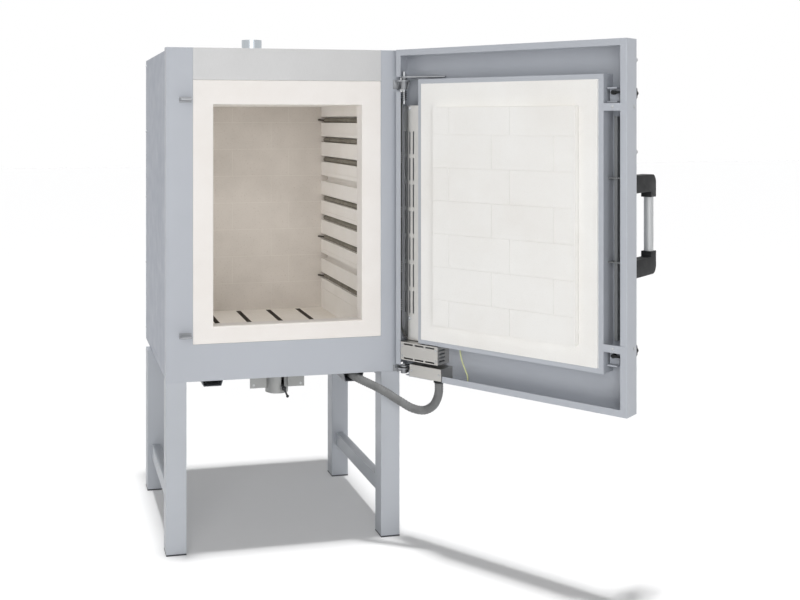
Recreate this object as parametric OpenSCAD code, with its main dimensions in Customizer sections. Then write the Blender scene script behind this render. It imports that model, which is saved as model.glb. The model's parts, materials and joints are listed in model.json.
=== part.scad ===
// Floor-standing front-loading chamber kiln on a four-leg stand, door open.
// Millimetres. +X to the right seen from the front, +Y into the kiln, +Z up.
// The origin is on the floor, at the middle of the stand.

/* [Casing] */
// Width of the painted front frame
body_w = 868; // [840:1:900]
// Depth from the front frame to the rear panel
body_d = 920; // [880:1:980]
// Height of the casing's top above the floor
body_top = 1794; // [1790:1:1860]
// Height of the front frame's lower edge above the floor
body_bottom = 612; // [580:1:620]
// Depth of the front frame
frame_d = 40; // [30:1:60]
// How far the front frame stands out past each side panel
frame_step = 18; // [10:1:24]
// Distance from the front frame to the stand's front legs
front_over = 5; // [2:1:20]
// Thickness of the casing's sheet steel
sheet = 2; // [1.5:0.1:2.5]

/* [Chamber] */
// Width of the loading opening
opening_w = 550; // [500:1:560]
// Height of the loading opening
opening_h = 790; // [700:1:800]
// Height of the opening's sill above the floor
sill_z = 803; // [790:1:820]
// Sideways place of the opening from the middle of the casing
opening_x = 10; // [0:1:12]
// Width of the white collar beside the opening
collar_w = 73; // [60:1:80]
// Width of the collar under the opening
collar_under_w = 60; // [50:1:70]
// Width of the collar above the opening
collar_over_w = 87; // [70:1:95]
// Depth of the collar bricks
collar_d = 66; // [50:1:70]
// Thickness of the insulation board behind the rear wall
board_t = 40; // [30:1:60]
// Depth of the space for wiring between that board and the rear panel
rear_space = 63; // [50:1:90]
// How far the side walls stand back behind the collar's inner edge
wall_back = 46; // [30:1:50]
// How far the floor lies below the sill
floor_drop = 82; // [60:1:90]
// Thickness of the hot-face bricks
brick_t = 64; // [50:1:70]
// Height of one course of bricks
course_h = 115; // [100:1:125]
// Height of one course of bricks on the door plug
plug_course_h = 116; // [100:1:125]
// Width and depth of the pointed joint between bricks
brick_joint = 1.6; // [1:0.1:3]

/* [Heating] */
// Number of grooves in each side wall
groove_count = 9; // [7:1:9]
// Distance between grooves
groove_pitch = 84.5; // [80:0.5:90]
// Height of the topmost groove's centre above the floor
groove_top_z = 1538; // [1520:1:1545]
// Width of a groove's mouth
groove_w = 26; // [22:1:30]
// Depth of a groove in the side wall
groove_depth = 30; // [26:1:34]
// Outside diameter of a wound heating element
element_d = 20; // [16:0.5:22]
// Diameter of the ceramic tube inside each element
element_core_d = 13; // [10:0.5:15]
// Number of slots in the hearth bricks
slot_count = 4; // [2:1:4]
// Distance between hearth slots
slot_pitch = 130; // [110:1:140]
// Width of a hearth slot
slot_w = 20; // [16:1:30]

/* [Stand] */
// Side of the square leg tube
leg_w = 72; // [60:1:80]
// Distance between the outer faces of the front and rear legs
stand_d = 750; // [700:1:800]
// Wall of the leg tube
leg_wall = 3; // [2:0.5:5]
// Height of the top rail under each side panel
rail_h = 29; // [20:1:40]
// Width of the top rail
rail_w = 50; // [40:1:56]
// Height of a side brace's centre above the floor
brace_z = 162; // [120:1:400]
// Height of a side brace
brace_h = 55; // [40:1:60]
// Width of a side brace
brace_w = 34; // [25:1:50]
// Thickness of the foot plates
foot_t = 5; // [3:1:8]

/* [Door] */
// Angle the door stands open
door_open = 126; // [0:1:130]
// Width of the door pan
door_w = 876; // [876:1:880]
// Thickness of the door pan
door_t = 73; // [60:1:80]
// Height of the door's lower edge above the floor
door_bottom = 607; // [600:1:610]
// Height of the door's upper edge above the floor
door_top = 1794; // [1790:1:1810]
// Gap between the front frame and the closed door's rim
door_gap = 10; // [8:1:14]
// How far the closed door stands out past the frame on the hinge side
door_past = 25; // [24:1:30]
// Distance from the pan's hinge edge to the hinge axis
axis_in = 23; // [20:1:26]
// Distance from the pan's rim plane to the hinge axis
axis_deep = 21; // [19:1:24]
// Width of the pan's turned-in lip
lip_w = 22; // [15:1:28]
// Bend radius at the pan's upright edges
pan_r = 4; // [3:0.5:6]
// Gap between the collar and the door's fibre face
seal_gap = 0.5; // [0.3:0.1:2]
// How far the brick plug stands out past the rim
plug_out = 30; // [20:1:40]
// Clearance round the plug in the opening, each side
plug_clear = 6; // [5:1:14]
// Clearance above and below the plug in the opening
plug_clear_z = 11; // [5:1:16]
// Width of the fibre face round the plug
fibre_w = 64; // [50:1:66]
// Width of the fibre face above the plug
fibre_top_w = 85; // [70:1:86]
// Width of the plug box's steel edge
box_edge = 17; // [10:1:18]

/* [Hinges and locks] */
// Diameter of the hinge pins
pin_d = 12; // [10:1:14]
// Running clearance round a hinge pin, on the radius
pin_clear = 0.05; // [0.02:0.01:0.1]
// Height of the upper hinge plate above the floor
hinge_top_z = 1683; // [1600:1:1700]
// Height of the lower hinge plate above the floor
hinge_low_z = 632; // [630:1:660]
// Number of curls in the hinge spring
spring_turns = 5; // [3:1:8]
// Wire diameter of the hinge spring
spring_wire = 3; // [2:0.5:3.5]
// Height of the upper lock's tongue above the floor
lock_top_z = 1609; // [1560:1:1625]
// Height of the lower lock's tongue above the floor
lock_low_z = 775; // [760:1:800]
// Diameter of a lock's shaft
lock_d = 14; // [12:1:18]
// Length of the door handle between its brackets' middles
handle_l = 269; // [200:1:400]
// Distance from the door to the handle tube's middle
handle_out = 140; // [60:1:150]
// Diameter of the handle tube
handle_d = 30; // [24:1:34]

/* [Air and exhaust] */
// Outside diameter of the exhaust pipe
exhaust_d = 85; // [70:1:100]
// Height of the exhaust pipe above the casing
exhaust_h = 81; // [60:1:120]
// Distance from the rear wall's bricks to the exhaust pipe's middle
exhaust_in = 57; // [50:1:120]
// Wall of the exhaust pipe
exhaust_wall = 1.5; // [1:0.5:3]
// Diameter of the air inlet's round housing
inlet_d = 84; // [70:1:90]
// Height of the air inlet under the casing
inlet_h = 72; // [50:1:80]
// Distance from the front frame to the air inlet's front
inlet_y = 50; // [30:1:90]
// Travel of the air slide
slide_travel = 40; // [20:1:45]
// Outside diameter of the ribbed conduit
conduit_d = 31; // [24:1:34]
// Wall of the ribbed conduit
conduit_wall = 3; // [2:0.5:5]
// Number of ribs on the conduit
conduit_ribs = 60; // [40:1:80]
// Diameter of the earth wire
earth_d = 5; // [3:1:6]

/* [Hidden] */
$fn = 48;
seam = 0.5;
front_y = -stand_d / 2 - front_over;
rear_y = front_y + body_d;
half_w = body_w / 2;
side_x = half_w - frame_step;
collar_low = sill_z - collar_under_w;
collar_high = sill_z + opening_h + collar_over_w;
wall_x = opening_w / 2 + wall_back;
hearth_z = sill_z - floor_drop;
ceiling_z = sill_z + opening_h;
chamber_y0 = front_y + collar_d;
chamber_d = body_d - collar_d - brick_t - board_t - rear_space;
chamber_y1 = chamber_y0 + chamber_d;
exhaust_y = chamber_y1 - exhaust_in;
frame_in_left = opening_x - opening_w / 2 - collar_w;
frame_in_right = opening_x + opening_w / 2 + collar_w;
door_x1 = half_w + door_past;
door_x0 = door_x1 - door_w;
rim_y = front_y - door_gap;
skin_y = rim_y - door_t;
hinge_x = door_x1 - axis_in;
hinge_y = rim_y - axis_deep;
plug_w = opening_w - 2 * plug_clear;
plug_h = opening_h - 2 * plug_clear_z;
plug_z = sill_z + plug_clear_z;
plug_x = opening_x - plug_w / 2;
fibre_y = front_y - seal_gap;
box_w = plug_w + 2 * (fibre_w + box_edge);
box_h = plug_h + fibre_w + fibre_top_w + 2 * box_edge;
box_x = opening_x - box_w / 2;
box_z = plug_z - fibre_w - box_edge;
box_back_y = skin_y + sheet;
inlet_x = opening_x - 25;
inlet_mid_y = front_y + inlet_y + inlet_d / 2;
air_bore = 40;
slot_depth = 36;
hearth_element_d = 16;
slot_shift = 14;
duct_left_x = -264;
duct_right_x = 260;
duct_left_h = 26;
duct_right_h = 36;
duct_w = 80;
duct_l = 380;
rear_slot_l = 80;
rear_slot_h = 6;
flue_d = 60;
exhaust_flange_t = 2;
exhaust_flange_w = 18;
tube_wall = 3;
leg_x = half_w - 2;
leg_front_y = -stand_d / 2;
leg_rear_y = stand_d / 2 - leg_w;
rail_z = body_bottom - rail_h;
inlet_plate_w = 204;
inlet_plate_h = 56;
inlet_wall = 2;
slide_z = body_bottom - 49;
slide_h = 8;
top_boss = 33;
low_boss = 21;
boss_d = 24;
arm_t = 6;
arm_gap = 0.3;
top_spacer = 8;
low_spacer = 2;
// The two webs, from the top
web_z = [1353, 1085];
web_t = 4;
strip_w = 10;
strip_out = 30;
lock_x = door_x0 + 54;
// How far a lock's shaft lies above its tongue
lock_rise = 16;
lock_hole_clear = 0.05;
hook_t = 5;
hook_y = rim_y - 22;
tongue_l = 40;
tongue_t = 6;
spring_high = hinge_top_z - top_boss - 0.5;
spring_l = 48;
spring_r = 11;
spring_steps = 8;
spring_run = spring_wire;
spring_gap = (spring_l - 2 * (spring_run + spring_wire)) / spring_turns - spring_wire;
cover_x0 = door_x1 - 96;
cover_bend = door_x1 - 34;
cover_x1 = door_x1 - 4;
cover_y = rim_y - 30;
cover_side_y = cover_y - 16;
cover_z0 = 733;
cover_z1 = 1590;
cover_slot_z = 831;
cover_slot_w = 5;
cover_slot_l = 82;
cover_slot_up = 97;
// Middles of the three rows of slots, from the pan's hinge edge
cover_slot_in = [18, 42, 58];
upper_x0 = door_x1 - 185;
upper_x1 = door_x1 - 27;
upper_z0 = hinge_low_z + 34;
upper_z1 = upper_z0 + 65;
lower_x0 = door_x1 - 199;
lower_x1 = door_x1 - 66;
lower_z0 = door_bottom + 4;
lower_z1 = hinge_low_z + 22;
// Both terminal boxes stand out past the rim by this much
boxes_y = rim_y + 6;
vent_w = 5;
gland_x = lower_x0 + 24;
gland_y = boxes_y - 24;
gland_l = 10;
gland_room = 21;
knob_out = 70;
knob_d = 52;
knob_t = 16;
knob_lobes = 5;
handle_x = door_x0 + 18;
handle_z = 1198;
bracket_w = 34;
bracket_r = 28;
// Grooves that hold a heating element, counted from the top
heated = [0, 1, 2, 4, 5, 6, 8];
// Upright joints of the rear wall and of the door plug, from the middle of the opening
rear_marks = [[-151, 97], [-73, 175]];
plug_marks = [[-34, 202], [-195, 34]];
// How much the plug's lowest course is cut off
plug_cut_row = 24;

// Middle of one hearth slot, counted from the left
function slot_x(k) = opening_x + (k - (slot_count - 1) / 2) * slot_pitch + slot_shift;

// A box from its low corner to its high corner
module block(lo, hi) {
  translate(lo)
    cube([hi[0] - lo[0], hi[1] - lo[1], hi[2] - lo[2]]);
}

// A cylinder that lies along Y
module along_y(d, l) {
  rotate([-90, 0, 0])
    cylinder(d = d, h = l);
}

// An open-ended pipe that stands up
module pipe(d, wall, h) {
  difference() {
    cylinder(d = d, h = h);
    translate([0, 0, -1])
      cylinder(d = d - 2 * wall, h = h + 2);
  }
}

// Turns what is drawn in the closed door to where the door stands
module on_door() {
  translate([hinge_x, hinge_y, 0])
    rotate([0, 0, door_open])
      translate([-hinge_x, -hinge_y, 0])
        children();
}

function turned(p) = [
  hinge_x + (p[0] - hinge_x) * cos(door_open) - (p[1] - hinge_y) * sin(door_open),
  hinge_y + (p[0] - hinge_x) * sin(door_open) + (p[1] - hinge_y) * cos(door_open),
  p[2]
];

// Casing

module front_frame() {
  color([0.72, 0.74, 0.78])
    difference() {
      block([-half_w, front_y, body_bottom], [half_w, front_y + frame_d, body_top]);
      // the mouth for the collar and the trim panel
      block([frame_in_left, front_y - 1, collar_low], [frame_in_right, front_y + frame_d + 1, body_top + 1]);
      // the hollow back of the folded sheet
      block([-half_w + sheet, front_y + sheet, body_bottom + sheet],
        [frame_in_left - sheet, front_y + frame_d + 1, body_top - sheet]);
      block([frame_in_right + sheet, front_y + sheet, body_bottom + sheet],
        [half_w - sheet, front_y + frame_d + 1, body_top - sheet]);
      block([-half_w + sheet, front_y + sheet, body_bottom + sheet],
        [half_w - sheet, front_y + frame_d + 1, collar_low - sheet]);
    }
}

module trim_panel() {
  color([0.82, 0.82, 0.82])
    difference() {
      block([frame_in_left, front_y, collar_high], [frame_in_right, front_y + frame_d, body_top]);
      block([frame_in_left + sheet, front_y + sheet, collar_high + sheet],
        [frame_in_right - sheet, front_y + frame_d + 1, body_top - sheet]);
    }
}

// One side panel, a sheet with its edges folded in at the top and rear
module side_panel(side) {
  inner = side * (side_x - sheet);
  outer = side * side_x;
  fold = side * (side_x - 20);
  y0 = front_y + frame_d;
  color([0.66, 0.69, 0.74]) {
    block([min(inner, outer), y0, body_bottom], [max(inner, outer), rear_y, body_top]);
    block([min(fold, outer), rear_y - sheet, body_bottom], [max(fold, outer), rear_y, body_top]);
  }
}

module roof_panel() {
  inner = side_x - sheet;
  y0 = front_y + frame_d;
  color([0.70, 0.72, 0.76])
    difference() {
      block([-inner, y0, body_top - sheet], [inner, rear_y - sheet, body_top]);
      translate([opening_x, exhaust_y, body_top - 10])
        cylinder(d = exhaust_d, h = 20);
    }
}

module rear_panel() {
  inner = side_x - 20;
  color([0.68, 0.70, 0.75])
    difference() {
      block([-inner, rear_y - sheet, body_bottom], [inner, rear_y, body_top - sheet]);
      // rows of cooling slots, high and low
      for (row = [0:4], col = [-2:2], base = [body_bottom + 90, body_top - 190])
        translate([col * 110 - rear_slot_l / 2, rear_y - sheet - 1, base + row * 20])
          cube([rear_slot_l, sheet + 2, rear_slot_h]);
    }
}

module floor_pan() {
  inner = side_x - sheet;
  color([0.62, 0.64, 0.68])
    difference() {
      block([-inner, front_y + frame_d, body_bottom], [inner, rear_y - sheet, body_bottom + sheet]);
      translate([inlet_x, inlet_mid_y, body_bottom - 1])
        cylinder(d = air_bore, h = sheet + 2);
    }
}

// Brickwork

// Joints of a bonded wall, cut into a face that looks along Y. The upright joints lie at
// marks[0] in the first course and every second one after it, at marks[1] in the others.
module wall_joints(x0, x1, z0, z1, y, course, marks) {
  rows = ceil((z1 - z0) / course);
  half = brick_joint / 2;
  for (r = [1:rows - 1])
    block([x0 - 1, y - brick_joint, z0 + r * course - half],
      [x1 + 1, y + brick_joint, z0 + r * course + half]);
  for (r = [0:rows - 1], x = marks[r % 2])
    block([opening_x + x - half, y - brick_joint, z0 + r * course],
      [opening_x + x + half, y + brick_joint, min(z0 + (r + 1) * course, z1 + 1)]);
}

module collar_bricks() {
  color([0.92, 0.91, 0.89])
    difference() {
      block([frame_in_left, front_y, collar_low], [frame_in_right, chamber_y0, collar_high]);
      block([opening_x - opening_w / 2, front_y - 1, sill_z],
        [opening_x + opening_w / 2, chamber_y0 + 1, sill_z + opening_h]);
    }
}

// Sunk grooves of one side wall, and a narrow shelf lip under each
module grooves(side) {
  face = opening_x + side * wall_x;
  deep = face + side * groove_depth;
  for (k = [0:groove_count - 1]) {
    z = groove_top_z - k * groove_pitch;
    translate([0, chamber_y0 - 1, 0])
      rotate([-90, 0, 0])
        linear_extrude(chamber_d + 2)
          union() {
            translate([min(face, deep) - (side > 0 ? 1 : 0), -z - groove_w / 2])
              square([groove_depth + 1 - groove_w / 2, groove_w]);
            translate([(side > 0 ? face : face - groove_depth + groove_w / 2), -z - groove_w / 2])
              square([groove_depth - groove_w / 2, groove_w]);
            translate([deep - side * groove_w / 2, -z])
              circle(d = groove_w);
          }
  }
}

module wall_bricks(side) {
  face = opening_x + side * wall_x;
  back = face + side * brick_t;
  color([0.86, 0.84, 0.81])
    difference() {
      block([min(face, back), chamber_y0, hearth_z], [max(face, back), chamber_y1, ceiling_z]);
      grooves(side);
      // joints between the courses lie half way between grooves
      for (k = [0:2:groove_count - 1]) {
        z = groove_top_z - (k + 0.66) * groove_pitch;
        block([face - brick_joint, chamber_y0 - 1, z], [face + brick_joint, chamber_y1 + 1, z + brick_joint]);
      }
    }
}

module rear_wall_bricks() {
  x0 = opening_x - wall_x - brick_t;
  x1 = opening_x + wall_x + brick_t;
  color([0.76, 0.73, 0.69])
    difference() {
      block([x0, chamber_y1, hearth_z], [x1, chamber_y1 + brick_t, ceiling_z]);
      wall_joints(opening_x - wall_x, opening_x + wall_x, hearth_z, ceiling_z, chamber_y1,
        course_h, rear_marks);
    }
}

module hearth_bricks() {
  x0 = opening_x - wall_x - brick_t;
  x1 = opening_x + wall_x + brick_t;
  color([0.80, 0.78, 0.74])
    difference() {
      block([x0, chamber_y0, hearth_z - brick_t], [x1, chamber_y1 + brick_t, hearth_z]);
      for (k = [0:slot_count - 1])
        translate([slot_x(k) - slot_w / 2, chamber_y0 + 20, hearth_z - slot_depth])
          cube([slot_w, chamber_d - 38, slot_depth + 1]);
      translate([inlet_x, inlet_mid_y, hearth_z - brick_t - 1])
        cylinder(d = air_bore, h = brick_t + 2);
    }
}

module ceiling_bricks() {
  x0 = opening_x - wall_x - brick_t;
  x1 = opening_x + wall_x + brick_t;
  color([0.86, 0.84, 0.81])
    difference() {
      block([x0, chamber_y0, ceiling_z], [x1, chamber_y1 + brick_t, ceiling_z + brick_t]);
      translate([opening_x, exhaust_y, ceiling_z - 1])
        cylinder(d = flue_d, h = brick_t + 2);
    }
}

// Five boards that back the bricks, with the exhaust's way through the top one
module backup_insulation() {
  x0 = -side_x + sheet;
  x1 = side_x - sheet;
  bx0 = opening_x - wall_x - brick_t;
  bx1 = opening_x + wall_x + brick_t;
  low = body_bottom + sheet;
  high = body_top - sheet;
  mid0 = hearth_z - brick_t;
  mid1 = ceiling_z + brick_t;
  back = chamber_y1 + brick_t;
  color([0.90, 0.89, 0.86]) {
    block([x0, chamber_y0, mid0], [bx0, back, mid1]);
    block([bx1, chamber_y0, mid0], [x1, back, mid1]);
    block([x0, back, mid0], [x1, back + board_t, mid1]);
    difference() {
      block([x0, chamber_y0, low], [x1, back + board_t, mid0]);
      translate([inlet_x, inlet_mid_y, low - 1])
        cylinder(d = air_bore, h = mid0 - low + 2);
    }
    difference() {
      block([x0, chamber_y0, mid1], [x1, back + board_t, high]);
      translate([opening_x, exhaust_y, mid1 - 1])
        cylinder(d = exhaust_d + 1, h = 200);
    }
  }
}

// Heating elements of one side wall: wound rods on ceramic tubes in the grooves
module elements(side) {
  x = opening_x + side * (wall_x + groove_depth - groove_w / 2);
  color([0.36, 0.33, 0.28])
    for (k = heated)
      translate([x, chamber_y0 + 8, groove_top_z - k * groove_pitch - (groove_w - element_d) / 2]) {
        translate([0, 14, 0])
          along_y(element_d, chamber_d - 44);
        along_y(element_core_d, chamber_d - 16);
        // the tail that runs back through the rear wall's corner
        if (k == 0 || k == 6 || k == 8)
          translate([-side * 12, chamber_d - 34, 0])
            rotate([0, side * 90, 0])
              cylinder(d = 6, h = 8);
      }
}

module elements_hearth() {
  color([0.30, 0.28, 0.25])
    for (k = [0:slot_count - 1])
      translate([slot_x(k), chamber_y0 + 20, hearth_z - slot_depth + hearth_element_d / 2])
        along_y(hearth_element_d, chamber_d - 38);
}

// Pipe through the roof, with the round flange that it hangs on
module exhaust_pipe() {
  low = ceiling_z + brick_t;
  color([0.75, 0.76, 0.77])
    translate([opening_x, exhaust_y, 0])
      difference() {
        union() {
          translate([0, 0, low])
            cylinder(d = exhaust_d, h = body_top + exhaust_h - low, $fn = 64);
          translate([0, 0, body_top])
            cylinder(d = exhaust_d + 2 * exhaust_flange_w, h = exhaust_flange_t, $fn = 64);
        }
        translate([0, 0, low - 1])
          cylinder(d = exhaust_d - 2 * exhaust_wall, h = body_top + exhaust_h, $fn = 64);
      }
}

// Stand

module leg(x, y, h) {
  color([0.70, 0.73, 0.77])
    translate([x, y, foot_t])
      difference() {
        cube([leg_w, leg_w, h - foot_t]);
        translate([leg_wall, leg_wall, -1])
          cube([leg_w - 2 * leg_wall, leg_w - 2 * leg_wall, h - foot_t - 4]);
      }
}

module leg_front_left() leg(-leg_x, leg_front_y, body_bottom);
module leg_front_right() leg(leg_x - leg_w, leg_front_y, body_bottom);
module leg_rear_left() leg(-leg_x, leg_rear_y, rail_z);
module leg_rear_right() leg(leg_x - leg_w, leg_rear_y, rail_z);

// Square tube that carries the casing, from a front leg to the rear panel
module rail(side) {
  outer = side * side_x;
  inner = side * (side_x - rail_w);
  y0 = leg_front_y + leg_w;
  color([0.66, 0.69, 0.74])
    difference() {
      block([min(inner, outer), y0, rail_z], [max(inner, outer), rear_y, body_bottom]);
      block([min(inner, outer) + tube_wall, y0 - 1, rail_z + tube_wall],
        [max(inner, outer) - tube_wall, rear_y - tube_wall, body_bottom - tube_wall]);
    }
}

module brace(side) {
  middle = side * (leg_x - leg_w / 2);
  color([0.66, 0.69, 0.74])
    difference() {
      block([middle - brace_w / 2, leg_front_y + leg_w, brace_z - brace_h / 2],
        [middle + brace_w / 2, leg_rear_y, brace_z + brace_h / 2]);
      block([middle - brace_w / 2 + tube_wall, leg_front_y, brace_z - brace_h / 2 + tube_wall],
        [middle + brace_w / 2 - tube_wall, leg_rear_y + 1, brace_z + brace_h / 2 - tube_wall]);
    }
}

module foot_plates() {
  color([0.25, 0.26, 0.27])
    for (x = [-leg_x, leg_x - leg_w], y = [leg_front_y, leg_rear_y])
      translate([x, y, 0])
        cube([leg_w, leg_w, foot_t]);
}

// Under the casing

// Hat-section cable duct, open towards the front
module cable_duct(x, h) {
  top = duct_w;
  low = duct_w - 16;
  color([0.72, 0.74, 0.78])
    translate([x, front_y + 25, body_bottom])
      rotate([-90, 0, 0])
        linear_extrude(duct_l)
          difference() {
            polygon([[-top / 2, 0], [top / 2, 0], [low / 2, h], [-low / 2, h]]);
            polygon([[-top / 2 + 3, -1], [top / 2 - 3, -1], [low / 2 - 2, h - 2], [-low / 2 + 2, h - 2]]);
          }
}

// Round-fronted housing of the air inlet, with its two flange plates
module air_inlet_housing() {
  x = inlet_x;
  y = inlet_mid_y;
  z = body_bottom - inlet_h;
  half = inlet_plate_w / 2;
  color([0.70, 0.70, 0.69])
    difference() {
      union() {
        translate([x, y, z])
          cylinder(d = inlet_d, h = inlet_h, $fn = 64);
        // the two flange plates, bent square to the front
        block([x - half, y - 12, body_bottom - inlet_plate_h], [x + half, y - 9, body_bottom]);
      }
      translate([x, y, z - 1])
        cylinder(d = inlet_d - 2 * inlet_wall, h = inlet_h + 2, $fn = 64);
      // window for the slide's lever
      block([x + 8, y - inlet_d, slide_z - 3], [x + 20, y, slide_z + slide_travel + 5]);
    }
}

// Slide that closes the inlet: a shallow cup, with its bent lever and ball
module air_slide() {
  cup_d = inlet_d - 2 * inlet_wall - 1;
  lever_y = -inlet_d / 2 - 18;
  color([0.15, 0.15, 0.16])
    translate([inlet_x, inlet_mid_y, slide_z]) {
      difference() {
        cylinder(d = cup_d, h = slide_h);
        translate([0, 0, 3])
          cylinder(d = cup_d - 6, h = slide_h);
      }
      block([11, lever_y + 4, 0], [17, -20, 4]);
      translate([14, lever_y, -0.5]) {
        sphere(d = 17, $fn = 32);
        rotate([0, 155, 0]) {
          cylinder(d = 7, h = 32);
          translate([0, 0, 32])
            sphere(d = 11, $fn = 32);
        }
      }
    }
}

// Flat tongues on the front frame that the two locks hook into
module catches() {
  color([0.75, 0.77, 0.80])
    for (z = [lock_top_z, lock_low_z])
      difference() {
        union() {
          block([lock_x - 24, front_y - 3, z - 10], [lock_x + 20, front_y, z + 10]);
          block([lock_x - 22, front_y - tongue_l, z - tongue_t / 2],
            [lock_x + 18, front_y - 3 + seam, z + tongue_t / 2]);
        }
        // the slot that a hook turns down into
        block([lock_x - 5, hook_y - 1, z - 4], [lock_x + 5, hook_y + hook_t + 1, z + 4]);
      }
}

// Bracket welded to the front frame, with the boss that holds the hinge pin
module hinge_bracket(z, boss) {
  color([0.75, 0.77, 0.80])
    difference() {
      union() {
        block([half_w - 30, front_y - 5, z - boss + 1], [half_w - 1, front_y, z + 2]);
        block([half_w - 24, hinge_y - 12, z - 6], [half_w + 6, front_y, z]);
        translate([hinge_x, hinge_y, z - boss])
          cylinder(d = boss_d, h = boss, $fn = 64);
        translate([half_w - 14, hinge_y, z - 6])
          rotate([0, 90, 0])
            linear_extrude(5)
              polygon([[0, 0], [boss - 3, -hinge_y + front_y - 1], [0, -hinge_y + front_y - 1]]);
      }
      translate([hinge_x, hinge_y, z - boss - 1])
        cylinder(d = pin_d + 2 * pin_clear, h = boss + 2, $fn = 64);
    }
}

// Door, drawn closed and turned to where it stands

// Outline of the pan seen from above, with its two lips turned in
module pan_outline() {
  difference() {
    union() {
      translate([door_x0, skin_y])
        square([door_w, door_t - pan_r]);
      translate([door_x0 + pan_r, skin_y])
        square([door_w - 2 * pan_r, door_t]);
      for (x = [door_x0 + pan_r, door_x1 - pan_r])
        translate([x, rim_y - pan_r])
          circle(r = pan_r, $fn = 32);
    }
    translate([door_x0 + sheet, skin_y + sheet])
      square([door_w - 2 * sheet, door_t - 2 * sheet]);
    translate([door_x0 + lip_w, rim_y - sheet - 1])
      square([door_w - 2 * lip_w, sheet + 2]);
  }
}

module door_pan() {
  x0 = door_x0 + sheet;
  x1 = door_x1 - sheet;
  color([0.74, 0.76, 0.80])
    on_door()
      difference() {
        union() {
          translate([0, 0, door_bottom])
            linear_extrude(door_top - door_bottom)
              pan_outline();
          for (z = [door_bottom, door_top - sheet])
            block([x0 - seam, skin_y + seam, z], [x1 + seam, rim_y - seam, z + sheet]);
          block([x0, rim_y - sheet, door_bottom], [x1, rim_y, door_bottom + lip_w]);
          block([x0, rim_y - sheet, door_top - lip_w], [x1, rim_y, door_top]);
        }
        // room for the hinge brackets, through the edge and the lip
        for (z = [[hinge_low_z - 40, hinge_low_z + 12], [hinge_top_z - 42, hinge_top_z + 12]])
          block([door_x1 - lip_w - 16, hinge_y - 26, z[0]], [door_x1 + 1, rim_y + 1, z[1]]);
        block([half_w - 34, rim_y - 10, door_bottom - 1], [door_x1 - lip_w, rim_y + 1, hinge_low_z + 6]);
        // room for the lower terminal box and for the conduit's collar under it
        block([lower_x0 - 1, rim_y - sheet - 1, door_bottom - 1],
          [lower_x1 + 1, rim_y + 1, door_bottom + lip_w + 1]);
        block([gland_x - gland_room, gland_y - gland_room, door_bottom - 1],
          [gland_x + gland_room, rim_y + 1, lower_z0 + 1]);
        // holes for the lock shafts
        for (z = [lock_top_z, lock_low_z])
          translate([lock_x, skin_y - 1, z + lock_rise])
            along_y(lock_d + 2 * lock_hole_clear, sheet + 2);
      }
}

// Steel box that holds the fibre and the bricks, open towards the kiln
module plug_box() {
  color([0.72, 0.73, 0.76])
    on_door()
      difference() {
        block([box_x, box_back_y, box_z], [box_x + box_w, rim_y, box_z + box_h]);
        block([box_x + sheet, box_back_y + sheet, box_z + sheet],
          [box_x + box_w - sheet, rim_y - sheet, box_z + box_h - sheet]);
        // the mouth inside the turned-in edge
        block([box_x + box_edge, rim_y - sheet - 1, box_z + box_edge],
          [box_x + box_w - box_edge, rim_y + 1, box_z + box_h - box_edge]);
      }
}

// Webs between the plug box and the pan at the free edge, and one strip
module plug_webs() {
  color([0.74, 0.75, 0.77])
    on_door() {
      for (z = web_z)
        difference() {
          block([door_x0 + sheet, box_back_y, z - web_t / 2], [box_x, rim_y - 32, z + web_t / 2]);
          block([lock_x - strip_w / 2, box_back_y - 1, z - web_t],
            [lock_x + strip_w / 2, box_back_y + strip_out, z + web_t]);
        }
      block([lock_x - strip_w / 2, box_back_y, lock_low_z + 60],
        [lock_x + strip_w / 2, box_back_y + strip_out, lock_top_z - 60]);
    }
}

module door_fibre() {
  color([0.94, 0.94, 0.92])
    on_door()
      difference() {
        union() {
          block([box_x + sheet, box_back_y + sheet, box_z + sheet],
            [box_x + box_w - sheet, rim_y - sheet, box_z + box_h - sheet]);
          block([box_x + box_edge, rim_y - sheet - seam, box_z + box_edge],
            [box_x + box_w - box_edge, fibre_y, box_z + box_h - box_edge]);
        }
        block([plug_x, rim_y - 40, plug_z], [plug_x + plug_w, fibre_y + 1, plug_z + plug_h]);
      }
}

module door_plug() {
  face = rim_y + plug_out;
  color([0.94, 0.94, 0.92])
    on_door()
      difference() {
        block([plug_x, rim_y - 40, plug_z], [plug_x + plug_w, face, plug_z + plug_h]);
        wall_joints(plug_x, plug_x + plug_w, plug_z - plug_cut_row, plug_z + plug_h, face, plug_course_h,
          plug_marks);
      }
}

// Arm welded in the pan, resting on a bracket through a spacer
module hinge_arm(z, spacer, reach) {
  color([0.76, 0.78, 0.81])
    on_door()
      difference() {
        union() {
          translate([0, 0, z + spacer + arm_gap])
            linear_extrude(arm_t)
              union() {
                translate([hinge_x, hinge_y])
                  circle(d = 30, $fn = 48);
                polygon([[hinge_x, hinge_y + 15], [hinge_x, hinge_y - 15],
                  [hinge_x - 8, skin_y + sheet], [hinge_x - reach, skin_y + sheet],
                  [hinge_x - reach, skin_y + 12]]);
              }
          translate([hinge_x, hinge_y, z + arm_gap])
            cylinder(d = 20, h = spacer + seam);
        }
        translate([hinge_x, hinge_y, z - 1])
          cylinder(d = pin_d, h = 40, $fn = 64);
      }
}

module hinge_pin(low, high) {
  color([0.80, 0.81, 0.82])
    on_door()
      translate([hinge_x, hinge_y, low])
        union() {
          cylinder(d = pin_d, h = high - low, $fn = 64);
          translate([0, 0, high - low - seam])
            cylinder(d = pin_d - 2, h = 2, $fn = 64);
        }
}

// Middle line of the spring: straight ends that stand on end, and curls between
function spring_point(i) =
  let(a = 360 * i / spring_steps, z0 = spring_run + spring_wire, n = spring_turns * spring_steps)
  [spring_r * cos(a), spring_r * sin(a), z0 + i * (spring_l - 2 * z0) / n];

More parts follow.
